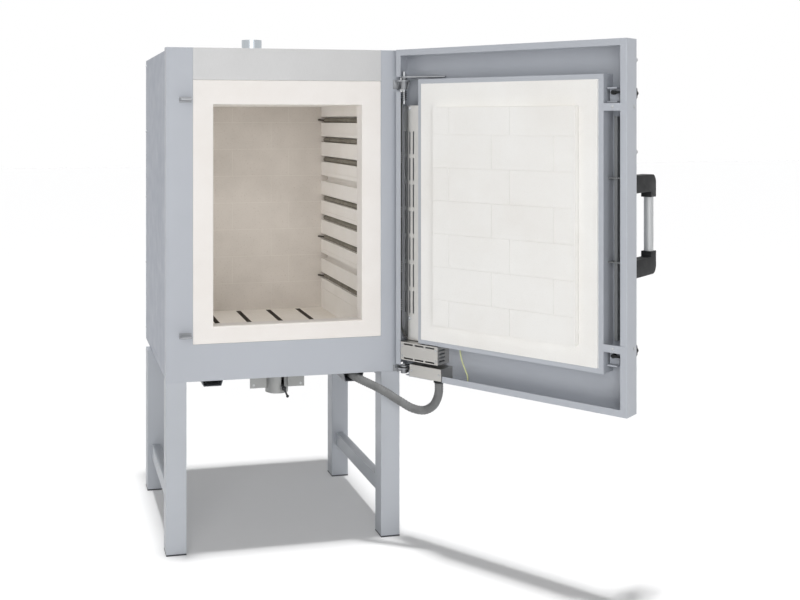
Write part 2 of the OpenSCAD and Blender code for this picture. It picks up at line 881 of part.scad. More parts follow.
spring_line = concat(
  [[spring_r, 0, 0], [spring_r, 0, spring_run]],
  [for (i = [0:spring_turns * spring_steps]) spring_point(i)],
  [[spring_r, 0, spring_l - spring_run], [spring_r, 0, spring_l]]
);

function unit(v) = v / norm(v);
function heading(p, i) = unit(p[min(i + 1, len(p) - 1)] - p[max(i - 1, 0)]);

// Two directions square to a heading, steady along a line that never runs along the guide
function across(h, guide) = unit(cross(h, guide));
function above(h, guide) = cross(across(h, guide), h);

// One unbroken tube along a line, its radius given for each ring
module sweep(p, r, sides, guide, bore = 0) {
  n = len(p);
  ring = function(i, rad) [for (k = [0:sides - 1])
    let(h = heading(p, i), a = 360 * k / sides)
    p[i] + rad * (cos(a) * across(h, guide) + sin(a) * above(h, guide))];
  outer = [for (i = [0:n - 1]) each ring(i, r[i])];
  inner = bore > 0 ? [for (i = [0:n - 1]) each ring(i, bore)] : [];
  base = n * sides;
  skin = [for (i = [0:n - 2], k = [0:sides - 1])
    let(a = i * sides + k, b = i * sides + (k + 1) % sides)
    each [[a, b, b + sides], [a, b + sides, a + sides]]];
  lining = bore > 0 ? [for (i = [0:n - 2], k = [0:sides - 1])
    let(a = base + i * sides + k, b = base + i * sides + (k + 1) % sides)
    each [[a, b + sides, b], [a, a + sides, b + sides]]] : [];
  last = (n - 1) * sides;
  caps = bore > 0
    ? [for (k = [0:sides - 1]) let(m = (k + 1) % sides)
      each [[k, base + m, m], [k, base + k, base + m],
        [last + k, last + m, base + last + m], [last + k, base + last + m, base + last + k]]]
    : [for (k = [1:sides - 2]) each [[0, k + 1, k], [last, last + k, last + k + 1]]];
  polyhedron(points = concat(outer, inner), faces = concat(skin, lining, caps));
}

module hinge_spring() {
  color([0.35, 0.36, 0.38])
    on_door()
      translate([hinge_x, hinge_y, spring_high - spring_l])
        sweep(spring_line, [for (p = spring_line) spring_wire / 2], 6, [0, 0.001, 1]);
}

echo(spring_gap_to_itself = spring_gap);

// Slotted cover over the cables beside the plug box, bent back towards the hinge edge
module cable_cover() {
  color([0.80, 0.80, 0.79])
    on_door()
      difference() {
        translate([0, 0, cover_z0])
          linear_extrude(cover_z1 - cover_z0)
            polygon([[cover_x0, cover_y], [cover_bend, cover_y], [cover_x1, cover_side_y],
              [cover_x1, box_back_y], [cover_x1 - sheet, box_back_y],
              [cover_x1 - sheet, cover_side_y - sheet],
              [cover_bend - 1, cover_y - sheet], [cover_x0, cover_y - sheet]]);
        for (row = [0:6], along = cover_slot_in)
          translate([door_x1 - along - cover_slot_w / 2, cover_side_y - sheet, 0])
            translate([0, 0, cover_slot_z + row * cover_slot_up])
              cube([cover_slot_w, cover_y - cover_side_y + sheet + 1, cover_slot_l]);
      }
}

// Terminal boxes low on the hinge side
module upper_box() {
  color([0.74, 0.74, 0.73])
    on_door()
      difference() {
        block([upper_x0, box_back_y, upper_z0], [upper_x1, boxes_y, upper_z1]);
        block([upper_x0 + sheet, box_back_y - 1, upper_z0 + sheet],
          [upper_x1 - sheet, boxes_y - sheet, upper_z1 - sheet]);
        for (k = [0:3])
          translate([upper_x0 - 1, boxes_y - 50, upper_z0 + 9 + k * 13])
            cube([sheet + 2, 38, vent_w]);
        for (k = [0:2], z = [upper_z0 + 4, upper_z1 - 10])
          translate([upper_x0 + 14 + k * 46, boxes_y - sheet - 1, z])
            cube([38, sheet + 2, vent_w]);
      }
}

module lower_box() {
  color([0.72, 0.71, 0.70])
    on_door()
      difference() {
        block([lower_x0, box_back_y, lower_z0], [lower_x1, boxes_y, lower_z1]);
        block([lower_x0 + sheet, box_back_y - 1, lower_z0 + sheet],
          [lower_x1 - sheet, boxes_y - sheet, lower_z1 - sheet]);
        translate([gland_x, gland_y, lower_z0 - 1])
          cylinder(d = conduit_d - 2 * conduit_wall, h = sheet + 2);
      }
}

// Collar under the lower box that holds the conduit's end
module conduit_gland() {
  color([0.30, 0.31, 0.32])
    on_door()
      translate([gland_x, gland_y, lower_z0 - gland_l])
        pipe(conduit_d + 6, 3, gland_l);
}

// Route of the conduit from the duct mouth to the box under the door
gland_at = turned([gland_x, gland_y, lower_z0 - gland_l]);
conduit_route = [
  [260, -270, 596], [260, -320, 596], [262, -352, 595.5], [278, -377, 588], [305, -395, 576],
  [332, -410, 564], [360, -428, 549], [384, -442, 534], [406, -456, 520], [442, -480, 500],
  [gland_at[0] - 45, gland_at[1] + 32, 496], [gland_at[0] - 19, gland_at[1] + 13, 514],
  [gland_at[0] - 6, gland_at[1] + 4, 540], [gland_at[0], gland_at[1], 568],
  [gland_at[0], gland_at[1], gland_at[2]]
];

// A point on a smooth curve through the route
function bend(p, t) =
  let(n = len(p) - 1, i = min(floor(t), n - 1), f = t - i,
    a = p[max(i - 1, 0)], b = p[i], c = p[i + 1], d = p[min(i + 2, n)])
  0.5 * (2 * b + (c - a) * f + (2 * a - 5 * b + 4 * c - d) * f * f
    + (3 * b - 3 * c + d - a) * f * f * f);

module conduit() {
  rings = 2 * conduit_ribs;
  line = [for (i = [0:rings]) bend(conduit_route, i * (len(conduit_route) - 1) / rings)];
  radius = [for (i = [0:rings])
    conduit_d / 2 - ((i % 2 == 0 || i < 4 || i > rings - 4) ? 0 : 1.5)];
  color([0.45, 0.46, 0.48])
    sweep(line, radius, 8, [0.9, 0.35, 0.01], conduit_d / 2 - conduit_wall);
}

earth_route = [
  [door_x1 - 250, rim_y - 40, box_z], [door_x1 - 250, rim_y - 40, box_z - 15],
  [door_x1 - 262, rim_y - 32, box_z - 45], [door_x1 - 280, rim_y - 26, box_z - 75],
  [door_x1 - 288, rim_y - 26, door_bottom + 32], [door_x1 - 288, rim_y - 26, door_bottom + sheet]
];
module earth_wire() {
  rings = 24;
  line = [for (i = [0:rings]) bend(earth_route, i * (len(earth_route) - 1) / rings)];
  color([0.75, 0.80, 0.35])
    on_door()
      sweep(line, [for (p = line) earth_d / 2], 8, [0.2, 1, 0.01]);
}

// Straps across the rim at the free edge, and the two tabs beside each lock
module lock_plates() {
  color([0.76, 0.78, 0.81])
    on_door()
      for (lock = [[lock_top_z, -30], [lock_low_z, 42]]) {
        z = lock[0];
        strap = z + lock[1];
        block([door_x0 + 1, rim_y, strap - 12], [box_x + 2, rim_y + 2, strap + 12]);
        for (tab = [z - 14, z + lock_rise + 14])
          block([lock_x - 16, box_back_y, tab - 2], [lock_x + 16, rim_y - 12, tab + 2]);
        // the web that steadies the shaft's inner end
        difference() {
          block([lock_x - 16, rim_y - 36, z - 12 - seam],
            [lock_x + 16, rim_y - 32, z + lock_rise + 12 + seam]);
          translate([lock_x, rim_y - 37, z + lock_rise])
            along_y(lock_d + 2 * lock_hole_clear, 10);
        }
      }
}

// Lock: a star knob outside, a shaft through the door and a hook at its inner end
module lock(z) {
  color([0.14, 0.14, 0.15])
    on_door()
      translate([lock_x, 0, z + lock_rise]) {
        translate([0, skin_y - knob_out, 0])
          along_y(lock_d, hook_y + hook_t - skin_y + knob_out);
        translate([0, skin_y - knob_out - 4, 0])
          rotate([-90, 0, 0])
            linear_extrude(knob_t)
              union() {
                circle(d = 36);
                for (k = [0:knob_lobes - 1])
                  rotate(k * 360 / knob_lobes)
                    translate([knob_d / 2 - 8, 0])
                      circle(d = 16);
              }
        block([-lock_rise - 6, hook_y, -4], [0, hook_y + hook_t, 4]);
      }
}

// Bow handle: two moulded brackets and a tube between them
module handle_bracket(z, up) {
  color([0.17, 0.18, 0.18])
    on_door()
      translate([handle_x, skin_y, z])
        mirror([0, 0, up > 0 ? 0 : 1])
          difference() {
            rotate([90, 0, 90])
              translate([0, 0, -bracket_w / 2])
                linear_extrude(bracket_w)
                  difference() {
                    union() {
                      translate([-handle_out + 8, -bracket_r])
                        square([handle_out - 8, 2 * bracket_r]);
                      translate([-handle_out - 20, -46])
                        square([40, 50]);
                      translate([-handle_out + 8, 0])
                        circle(r = bracket_r);
                    }
                    translate([-handle_out - 40, -70])
                      square([20, 120]);
                  }
            translate([0, -handle_out, -47])
              cylinder(d = handle_d, h = 37);
          }
}

module handle_tube() {
  color([0.75, 0.76, 0.77])
    on_door()
      translate([handle_x, skin_y - handle_out, handle_z - handle_l / 2 + 10])
        difference() {
          cylinder(d = handle_d, h = handle_l - 20, $fn = 64);
          translate([0, 0, -1])
            cylinder(d = handle_d - 4, h = handle_l, $fn = 64);
        }
}

front_frame();
trim_panel();
side_panel(-1);  // side_panel_left
side_panel(1);  // side_panel_right
roof_panel();
rear_panel();
floor_pan();
collar_bricks();
backup_insulation();
wall_bricks(-1);  // wall_bricks_left
wall_bricks(1);  // wall_bricks_right
rear_wall_bricks();
hearth_bricks();
ceiling_bricks();
elements(-1);  // elements_left
elements(1);  // elements_right
elements_hearth();
exhaust_pipe();
leg_front_left();
leg_front_right();
leg_rear_left();
leg_rear_right();
rail(-1);  // rail_left
rail(1);  // rail_right
brace(-1);  // brace_left
brace(1);  // brace_right
foot_plates();
cable_duct(duct_left_x, duct_left_h);  // cable_duct_left
cable_duct(duct_right_x, duct_right_h);  // cable_duct_right
air_inlet_housing();
air_slide();
catches();
hinge_bracket(hinge_top_z, top_boss);  // hinge_bracket_top
hinge_bracket(hinge_low_z, low_boss);  // hinge_bracket_low
door_pan();
plug_box();
plug_webs();
door_fibre();
door_plug();
hinge_arm(hinge_top_z, top_spacer, 150);  // hinge_arm_top
hinge_arm(hinge_low_z, low_spacer, 40);  // hinge_arm_low
hinge_pin(spring_high - spring_l - 6, hinge_top_z + 30);  // hinge_pin_top
hinge_pin(hinge_low_z - low_boss, hinge_low_z + 12);  // hinge_pin_low
hinge_spring();
cable_cover();
upper_box();
lower_box();
conduit_gland();
conduit();
earth_wire();
lock_plates();
lock(lock_top_z);  // lock_top
lock(lock_low_z);  // lock_low
handle_bracket(handle_z + handle_l / 2, 1);  // handle_bracket_top
handle_bracket(handle_z - handle_l / 2, -1);  // handle_bracket_low
handle_tube();
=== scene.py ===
"""A chamber kiln on a four-leg stand, with its door open, dressed around its CAD frame."""
import json
import math
import bmesh
import bpy
from mathutils import Matrix, Vector


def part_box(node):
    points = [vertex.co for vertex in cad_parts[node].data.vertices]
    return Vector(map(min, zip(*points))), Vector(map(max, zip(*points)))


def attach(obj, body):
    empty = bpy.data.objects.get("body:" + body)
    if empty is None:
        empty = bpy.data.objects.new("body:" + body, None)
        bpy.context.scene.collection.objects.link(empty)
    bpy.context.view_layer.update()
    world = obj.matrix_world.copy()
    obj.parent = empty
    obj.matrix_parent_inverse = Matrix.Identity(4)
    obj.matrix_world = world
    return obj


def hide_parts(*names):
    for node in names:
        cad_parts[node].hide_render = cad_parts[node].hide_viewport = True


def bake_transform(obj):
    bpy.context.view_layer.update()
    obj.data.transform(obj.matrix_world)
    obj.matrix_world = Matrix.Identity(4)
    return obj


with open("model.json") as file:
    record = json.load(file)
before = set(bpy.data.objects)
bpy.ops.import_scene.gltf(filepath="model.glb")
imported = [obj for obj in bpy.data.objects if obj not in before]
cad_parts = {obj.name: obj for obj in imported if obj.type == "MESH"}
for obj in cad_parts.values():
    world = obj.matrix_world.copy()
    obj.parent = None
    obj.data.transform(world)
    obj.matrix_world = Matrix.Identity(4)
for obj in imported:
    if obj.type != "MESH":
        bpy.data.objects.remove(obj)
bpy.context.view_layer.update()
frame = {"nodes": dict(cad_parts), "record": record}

scene = bpy.context.scene

# Driving sizes, in metres, as the frame has them
FRONT_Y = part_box("front_frame")[0][1]
BODY_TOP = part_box("front_frame")[1][2]
HALF_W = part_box("front_frame")[1][0]
DOOR_OPEN = math.radians(126)
HINGE = Vector((0.436, -0.411, 0.0))
RIM_Y = FRONT_Y - 0.010
SKIN_Y = RIM_Y - 0.073
DOOR_X1 = HALF_W + 0.025
DOOR_X0 = DOOR_X1 - 0.876
LOCK_X = DOOR_X0 + 0.054
OPENING_X = 0.010
CHAMBER_HALF_W = 0.321


def door_direction(v):
    """A direction of the closed door, as the open door turns it."""
    return Matrix.Rotation(DOOR_OPEN, 3, "Z") @ Vector(v)


def turned(p):
    """A point of the closed door, where the open door holds it."""
    return Matrix.Rotation(DOOR_OPEN, 3, "Z") @ (Vector(p) - HINGE) + HINGE


def body_of_node(node):
    """The moving body that holds a CAD node."""
    for body, nodes in frame["record"]["behaviour"]["bodies"].items():
        if node in nodes:
            return body
    raise ValueError(node)


# Camera

FOCAL_PX = 1054.0
IMAGE = (800, 600)
AXIS_PX = (279.64, 119.36)
YAW = math.radians(12.63)
EYE = (-0.8532, -4.0802, 1.5395)


def make_camera():
    data = bpy.data.cameras.new("camera")
    data.sensor_fit = "HORIZONTAL"
    data.sensor_width = 36.0
    data.lens = FOCAL_PX / IMAGE[0] * data.sensor_width
    data.shift_x = (IMAGE[0] / 2 - AXIS_PX[0]) / IMAGE[0]
    data.shift_y = -(IMAGE[1] / 2 - AXIS_PX[1]) / IMAGE[0]
    cam = bpy.data.objects.new("camera", data)
    cam.location = EYE
    cam.rotation_euler = (math.radians(90), 0, -YAW)
    scene.collection.objects.link(cam)
    scene.camera = cam


make_camera()
scene.view_settings.view_transform = "Standard"


# Materials

def new_material(name, color, rough=0.5, metal=0.0):
    mat = bpy.data.materials.new(name)
    mat.use_nodes = True
    shader = mat.node_tree.nodes["Principled BSDF"]
    shader.inputs["Base Color"].default_value = (*color, 1)
    shader.inputs["Roughness"].default_value = rough
    shader.inputs["Metallic"].default_value = metal
    return mat, mat.node_tree, shader


def coords(tree, scale=(1, 1, 1)):
    """Object coordinates, stretched."""
    where = tree.nodes.new("ShaderNodeTexCoord")
    mapping = tree.nodes.new("ShaderNodeMapping")
    mapping.inputs["Scale"].default_value = scale
    tree.links.new(where.outputs["Object"], mapping.inputs["Vector"])
    return mapping.outputs["Vector"]


def noise(tree, vector, scale, detail=4.0, rough=0.55):
    node = tree.nodes.new("ShaderNodeTexNoise")
    node.inputs["Scale"].default_value = scale
    node.inputs["Detail"].default_value = detail
    node.inputs["Roughness"].default_value = rough
    tree.links.new(vector, node.inputs["Vector"])
    return node.outputs["Fac"]


def spread(tree, value, low, high):
    """Maps a noise between two numbers."""
    node = tree.nodes.new("ShaderNodeMapRange")
    node.inputs["From Min"].default_value = 0.3
    node.inputs["From Max"].default_value = 0.7
    node.inputs["To Min"].default_value = low
    node.inputs["To Max"].default_value = high
    tree.links.new(value, node.inputs["Value"])
    return node.outputs["Result"]


def ramp(tree, value, stops):
    """Colours along a value, from (place, colour) stops."""
    node = tree.nodes.new("ShaderNodeValToRGB")
    marks = node.color_ramp.elements
    while len(marks) < len(stops):
        marks.new(0.5)
    for mark, (at, color) in zip(marks, stops):
        mark.position = at
        mark.color = (*color, 1)
    tree.links.new(value, node.inputs["Fac"])
    return node.outputs["Color"]


def bump(tree, shader, height, strength, distance):
    node = tree.nodes.new("ShaderNodeBump")
    node.inputs["Strength"].default_value = strength
    node.inputs["Distance"].default_value = distance
    tree.links.new(height, node.inputs["Height"])
    tree.links.new(node.outputs["Normal"], shader.inputs["Normal"])


def linear(*rgb):
    """sRGB 0 to 255 as linear light."""
    out = []
    for v in rgb:
        v /= 255
        out.append(v / 12.92 if v <= 0.04045 else ((v + 0.055) / 1.055) ** 2.4)
    return tuple(out)


def shade(color, k):
    """A colour made lighter or darker by a factor."""
    return tuple(min(1.0, c * k) for c in color)


def paint(name, color):
    """Satin powder coat: a fine orange peel and slightly uneven gloss."""
    mat, tree, shader = new_material(name, color, 0.42)
    where = coords(tree)
    broad = noise(tree, where, 3.0, 3.0)
    tree.links.new(ramp(tree, broad, [(0.3, shade(color, 0.985)), (0.7, shade(color, 1.012))]),
                   shader.inputs["Base Color"])
    tree.links.new(spread(tree, noise(tree, where, 14.0), 0.36, 0.5), shader.inputs["Roughness"])
    bump(tree, shader, noise(tree, where, 350.0, 2.0), 0.04, 0.0003)
    return mat


def brushed(name, color, along=(1, 60, 60), rough=(0.28, 0.42), metal=1.0):
    """Brushed sheet: fine lines along one axis and a cloudy sheen."""
    mat, tree, shader = new_material(name, color, 0.35, metal)
    lines = noise(tree, coords(tree, along), 40.0, 3.0, 0.7)
    cloud = noise(tree, coords(tree), 5.0, 3.0)
    tree.links.new(ramp(tree, lines, [(0.25, shade(color, 0.90)), (0.75, shade(color, 1.05))]),
                   shader.inputs["Base Color"])
    tree.links.new(spread(tree, cloud, *rough), shader.inputs["Roughness"])
    bump(tree, shader, lines, 0.12, 0.0003)
    return mat


def refractory(name, color, dark, grain=260.0, pits=0.25, speck=(0.86, 0.84, 0.81)):
    """Insulating brick or fibre board: matt, finely pitted, with slow stains."""
    mat, tree, shader = new_material(name, color, 0.95)
    shader.inputs["Specular IOR Level"].default_value = 0.15
    where = coords(tree)
    stain = noise(tree, where, 4.5, 5.0, 0.6)
    fine = noise(tree, where, grain, 3.0, 0.65)
    mix = tree.nodes.new("ShaderNodeMix")
    mix.data_type = "RGBA"
    mix.blend_type = "MULTIPLY"
    mix.inputs["Factor"].default_value = 0.6
    tree.links.new(ramp(tree, stain, [(0.3, dark), (0.62, color)]), mix.inputs["A"])
    tree.links.new(ramp(tree, fine, [(0.28, speck), (0.42, (1, 1, 1))]), mix.inputs["B"])
    tree.links.new(mix.outputs["Result"], shader.inputs["Base Color"])
    bump(tree, shader, fine, pits, 0.0012)
    return mat


def moulded(name, color, rough=0.5, grain=700.0):
    """Moulded plastic with a fine grain."""
    mat, tree, shader = new_material(name, color, rough)
    shader.inputs["Specular IOR Level"].default_value = 0.3
    where = coords(tree)
    cloud = noise(tree, where, 30.0, 3.0)
    tree.links.new(ramp(tree, cloud, [(0.3, shade(color, 0.85)), (0.7, shade(color, 1.2))]),
                   shader.inputs["Base Color"])
    tree.links.new(spread(tree, cloud, rough - 0.06, rough + 0.08), shader.inputs["Roughness"])
    bump(tree, shader, noise(tree, where, grain, 2.0), 0.15, 0.0004)
    return mat


FRONT_PAINT = paint("powder coat front", linear(180, 184, 191))
# Painted shade: the front's powder coat made darker for the side, roof and rear panels and the rails.
SHADED_SIDE_PAINT = paint("powder coat side painted shade", linear(156, 162, 174))
LEG_PAINT = paint("powder coat stand", linear(183, 187, 193))
STEEL_TRIM = brushed("stainless trim", linear(196, 196, 196), (60, 60, 1), (0.5, 0.6), 0.35)
STEEL_BOX = brushed("stainless box", linear(188, 186, 182), (1, 60, 60))
STEEL_SLOT = brushed("stainless cover", linear(208, 207, 204), (60, 60, 1))
ZINC = brushed("zinc plate", linear(186, 188, 190), (1, 30, 30), (0.35, 0.5))
WEB_STEEL = brushed("galvanised web", linear(132, 134, 135), (30, 30, 1), (0.5, 0.65), 0.5)
DULL_STEEL = brushed("dull inlet steel", linear(150, 151, 150), (30, 30, 30), (0.45, 0.6), 0.6)
HINGE_STEEL = brushed("hinge steel", linear(150, 152, 155), (30, 30, 30), (0.4, 0.55), 0.7)
PIPE_STEEL = brushed("stainless pipe", linear(190, 196, 200), (40, 40, 1))
ALU = brushed("satin tube", linear(186, 188, 189), (80, 80, 1), (0.5, 0.6), 0.4)
COLLAR = refractory("fibre collar", linear(242, 238, 234), linear(238, 233, 228), 500.0, 0.12)
DOOR_WHITE = refractory("door plug brick", linear(242, 241, 238), linear(238, 236, 232), 420.0, 0.15)
WALL_LIGHT = refractory("wall brick", linear(250, 247, 243), linear(244, 240, 234), 260.0, 0.15)
WALL_REAR = refractory("rear brick", linear(222, 215, 207), linear(209, 202, 194),
                       150.0, 0.22, (0.74, 0.70, 0.65))
HEARTH = refractory("hearth brick", linear(247, 242, 235), linear(238, 232, 223),
                    150.0, 0.2, (0.78, 0.75, 0.70))
# Dark brick for the walls and floors of the hearth's element slots: painted shade, with some real oxide.
SLOT_SHADE_AND_OXIDE = refractory("slot painted shade and oxide", linear(112, 105, 96), linear(92, 86, 78), 150.0, 0.2)
# Painted shade: the ducts' powder coat made dark, so that their mouths look shaded.
DUCT_SHADED_PAINT = paint("duct painted shade", linear(104, 107, 112))
BOARD = refractory("backup board", linear(228, 224, 216), linear(220, 216, 208))
BLACK = moulded("black plastic", linear(24, 25, 26), 0.6)
BLACK_STEEL = moulded("blackened steel", linear(40, 41, 43), 0.35, 300.0)
CONDUIT = moulded("conduit grey", linear(112, 113, 113), 0.5)
WIRE = moulded("oxidised wire", linear(150, 144, 133), 0.75, 900.0)
TAIL = moulded("twisted tails", linear(74, 69, 62), 0.7, 900.0)
# Painted shade: the same element wire as above, made darker for the elements in the hearth's slots.
HEARTH_WIRE_SHADED = moulded("hearth wire painted shade", linear(84, 79, 72), 0.7, 900.0)
CERAMIC = refractory("ceramic tube", linear(206, 200, 189), linear(190, 184, 172), 600.0, 0.1)
MORTAR = refractory("mortar line", linear(232, 227, 219), linear(222, 216, 207), 400.0, 0.1)
SPRING = brushed("spring steel", linear(120, 122, 126), (30, 30, 30), (0.3, 0.45))
FOOT = moulded("foot dark", linear(66, 68, 71), 0.6)
EARTH = moulded("earth sheath", linear(208, 212, 160), 0.5)
LOOM = moulded("loom dark", linear(70, 70, 68), 0.6)
WRAP = moulded("loom wrap", linear(150, 150, 150), 0.5)


# Mesh helpers

def add_object(name, mesh, mat):
    obj = bpy.data.objects.new(name, mesh)
    scene.collection.objects.link(obj)
    mesh.materials.clear()
    mesh.materials.append(mat)
    return obj


def from_bmesh(name, bm, mat, smooth=False):
    mesh = bpy.data.meshes.new(name)
    bmesh.ops.recalc_face_normals(bm, faces=bm.faces)
    bm.to_mesh(mesh)
    bm.free()
    if smooth:
        mesh.shade_smooth()
    return add_object(name, mesh, mat)


def apply_modifiers(obj):
    """Puts the modified mesh in the place of the plain one."""
    depsgraph = bpy.context.evaluated_depsgraph_get()
    mesh = bpy.data.meshes.new_from_object(obj.evaluated_get(depsgraph))
    obj.modifiers.clear()
    old = obj.data
    obj.data = mesh
    bpy.data.meshes.remove(old)


# Nodes with large round faces, which are shaded smooth; the others keep flat faces
ROUNDED = ("hinge_bracket_top", "hinge_bracket_low", "hinge_arm_top", "hinge_arm_low",
           "handle_bracket_top", "handle_bracket_low")


def bevelled(node, mat, width):
    """The node's own shape with its sharp edges rounded, in the node's place."""
    source = frame["nodes"][node]
    mesh = source.data.copy()
    mesh.name = node + "_dressed"
    obj = add_object(node + "_dressed", mesh, mat)
    obj.matrix_world = source.matrix_world.copy()
    bm = bmesh.new()
    bm.from_mesh(mesh)
    bmesh.ops.remove_doubles(bm, verts=bm.verts, dist=1e-6)
    bmesh.ops.dissolve_limit(bm, angle_limit=math.radians(0.5), verts=bm.verts, edges=bm.edges)
    bm.to_mesh(mesh)
    bm.free()
    mod = obj.modifiers.new("bevel", "BEVEL")
    mod.width = width
    mod.segments = 2
    mod.limit_method = "ANGLE"
    mod.angle_limit = math.radians(40)
    mod.use_clamp_overlap = True
    mod.harden_normals = node in ROUNDED
    if node in ROUNDED:
        mesh.shade_smooth()
    else:
        mesh.shade_flat()
    apply_modifiers(obj)
    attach(obj, body_of_node(node))
    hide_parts(node)


def two_material_copy(node, mat, stain, inside):
    """A copy of the node whose faces in some places have a second material."""
    source = frame["nodes"][node]
    mesh = source.data.copy()
    obj = add_object(node + "_dressed", mesh, mat)
    obj.matrix_world = source.matrix_world.copy()
    mesh.materials.append(stain)
    for face in mesh.polygons:
        face.use_smooth = False
        face.material_index = 1 if inside(obj.matrix_world @ face.center) else 0
    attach(obj, body_of_node(node))
    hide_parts(node)


def keep(node, mat):
    """The CAD node stays as it is, in a better material."""
    obj = frame["nodes"][node]
    for slot in obj.material_slots:
        slot.material = mat


def band(bm, low, high):
    """Faces between two rings of as many vertices."""
    for k in range(len(low)):
        m = (k + 1) % len(low)
        bm.faces.new((low[k], low[m], high[m], high[k]))


def skin(bm, rings):
    """A closed form over rings, with both ends capped."""
    for low, high in zip(rings, rings[1:]):
        band(bm, low, high)
    bm.faces.new(list(reversed(rings[0])))
    bm.faces.new(rings[-1])


def lathe(bm, profile, place, sides=24):
    """A turned form: the profile is (radius, height) pairs from bottom to top."""
    rings = []
    for radius, height in profile:
        ring = []
        for k in range(sides):
            a = 2 * math.pi * k / sides
            ring.append(bm.verts.new(place @ Vector((radius * math.cos(a), radius * math.sin(a), height))))
        rings.append(ring)
    skin(bm, rings)


def tube(bm, points, radius, sides=8, guide=Vector((0, 0, 1))):
    """A closed tube along points.

    The radius is one number or a list, and the guide sets where the first side points.
    """
    points = [Vector(p) for p in points]
    radii = radius if isinstance(radius, list) else [radius] * len(points)
    rings = []
    side = None
    for i, p in enumerate(points):
        ahead = (points[min(i + 1, len(points) - 1)] - points[max(i - 1, 0)]).normalized()
        side = ahead.cross(guide) if side is None else side - ahead * side.dot(ahead)
        side.normalize()
        up = side.cross(ahead)
        ring = []
        for k in range(sides):
            a = 2 * math.pi * k / sides
            ring.append(bm.verts.new(p + radii[i] * (math.cos(a) * side + math.sin(a) * up)))
        rings.append(ring)
    skin(bm, rings)


def curve_points(route, count):
    """Points on a smooth curve through a route."""
    route = [Vector(p) for p in route]
    last = len(route) - 1
    out = []
    for i in range(count + 1):
        t = i * last / count
        k = min(int(t), last - 1)
        f = t - k
        a, b, c, d = route[max(k - 1, 0)], route[k], route[k + 1], route[min(k + 2, last)]
        out.append(0.5 * (2 * b + (c - a) * f + (2 * a - 5 * b + 4 * c - d) * f * f
                          + (3 * b - 3 * c + d - a) * f * f * f))
    return out


def facing(direction, at):
    """A placement whose +Z looks along a direction."""
    return Matrix.Translation(at) @ Vector(direction).to_track_quat("Z", "Y").to_matrix().to_4x4()


# Cords

CONDUIT_D = 0.031
RIBS = 60
RIB_DEPTH = 0.0009
EARTH_D = 0.005


def under(node):
    """The middle of a node's underside."""
    low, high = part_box(node)
    return Vector(((low[0] + high[0]) / 2, (low[1] + high[1]) / 2, low[2]))


GLAND = under("conduit_gland")


def make_conduit():
    """Grey ribbed conduit from the duct under the casing to the box under the door."""
    route = [
        (0.260, -0.270, 0.596), (0.260, -0.320, 0.596), (0.262, -0.352, 0.5955), (0.278, -0.377, 0.588),
        (0.305, -0.395, 0.576), (0.332, -0.410, 0.564), (0.360, -0.428, 0.549), (0.384, -0.442, 0.534),
        (0.406, -0.456, 0.520), (0.442, -0.480, 0.500),
        GLAND + Vector((-0.045, 0.032, 0.496 - GLAND.z)), GLAND + Vector((-0.019, 0.013, 0.514 - GLAND.z)),
        GLAND + Vector((-0.006, 0.004, 0.540 - GLAND.z)), GLAND + Vector((0, 0, 0.568 - GLAND.z)), GLAND,
    ]
    path = curve_points(route, 6 * RIBS)
    wave = [CONDUIT_D / 2 - (RIB_DEPTH if i % 6 in (2, 3, 4) else 0.0) for i in range(len(path))]
    bm = bmesh.new()
    tube(bm, path, wave, 24, Vector((0.9, 0.35, 0.01)))
    obj = from_bmesh("conduit_hose", bm, CONDUIT, smooth=True)
    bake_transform(obj)
    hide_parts("conduit")


def make_earth_wire():
    """Thin earth wire from the plug box down to the pan's lower edge."""
    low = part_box("plug_box")[0][2]
    pan_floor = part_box("door_pan")[0][2] + 0.002
    route = [turned((DOOR_X1 - inset, RIM_Y - depth, z)) for inset, depth, z in (
        (0.250, 0.040, low), (0.250, 0.040, low - 0.015), (0.262, 0.032, low - 0.045),
        (0.280, 0.026, low - 0.075), (0.288, 0.026, pan_floor + 0.030), (0.288, 0.026, pan_floor))]
    path = curve_points(route, 60)
    bm = bmesh.new()
    tube(bm, path, EARTH_D / 2, 12, Vector((0.2, 1, 0.01)))
    obj = from_bmesh("earth_lead", bm, EARTH, smooth=True)
    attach(obj, "door")
    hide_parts("earth_wire")


make_conduit()
make_earth_wire()


# CAD nodes with rounded edges or a better finish

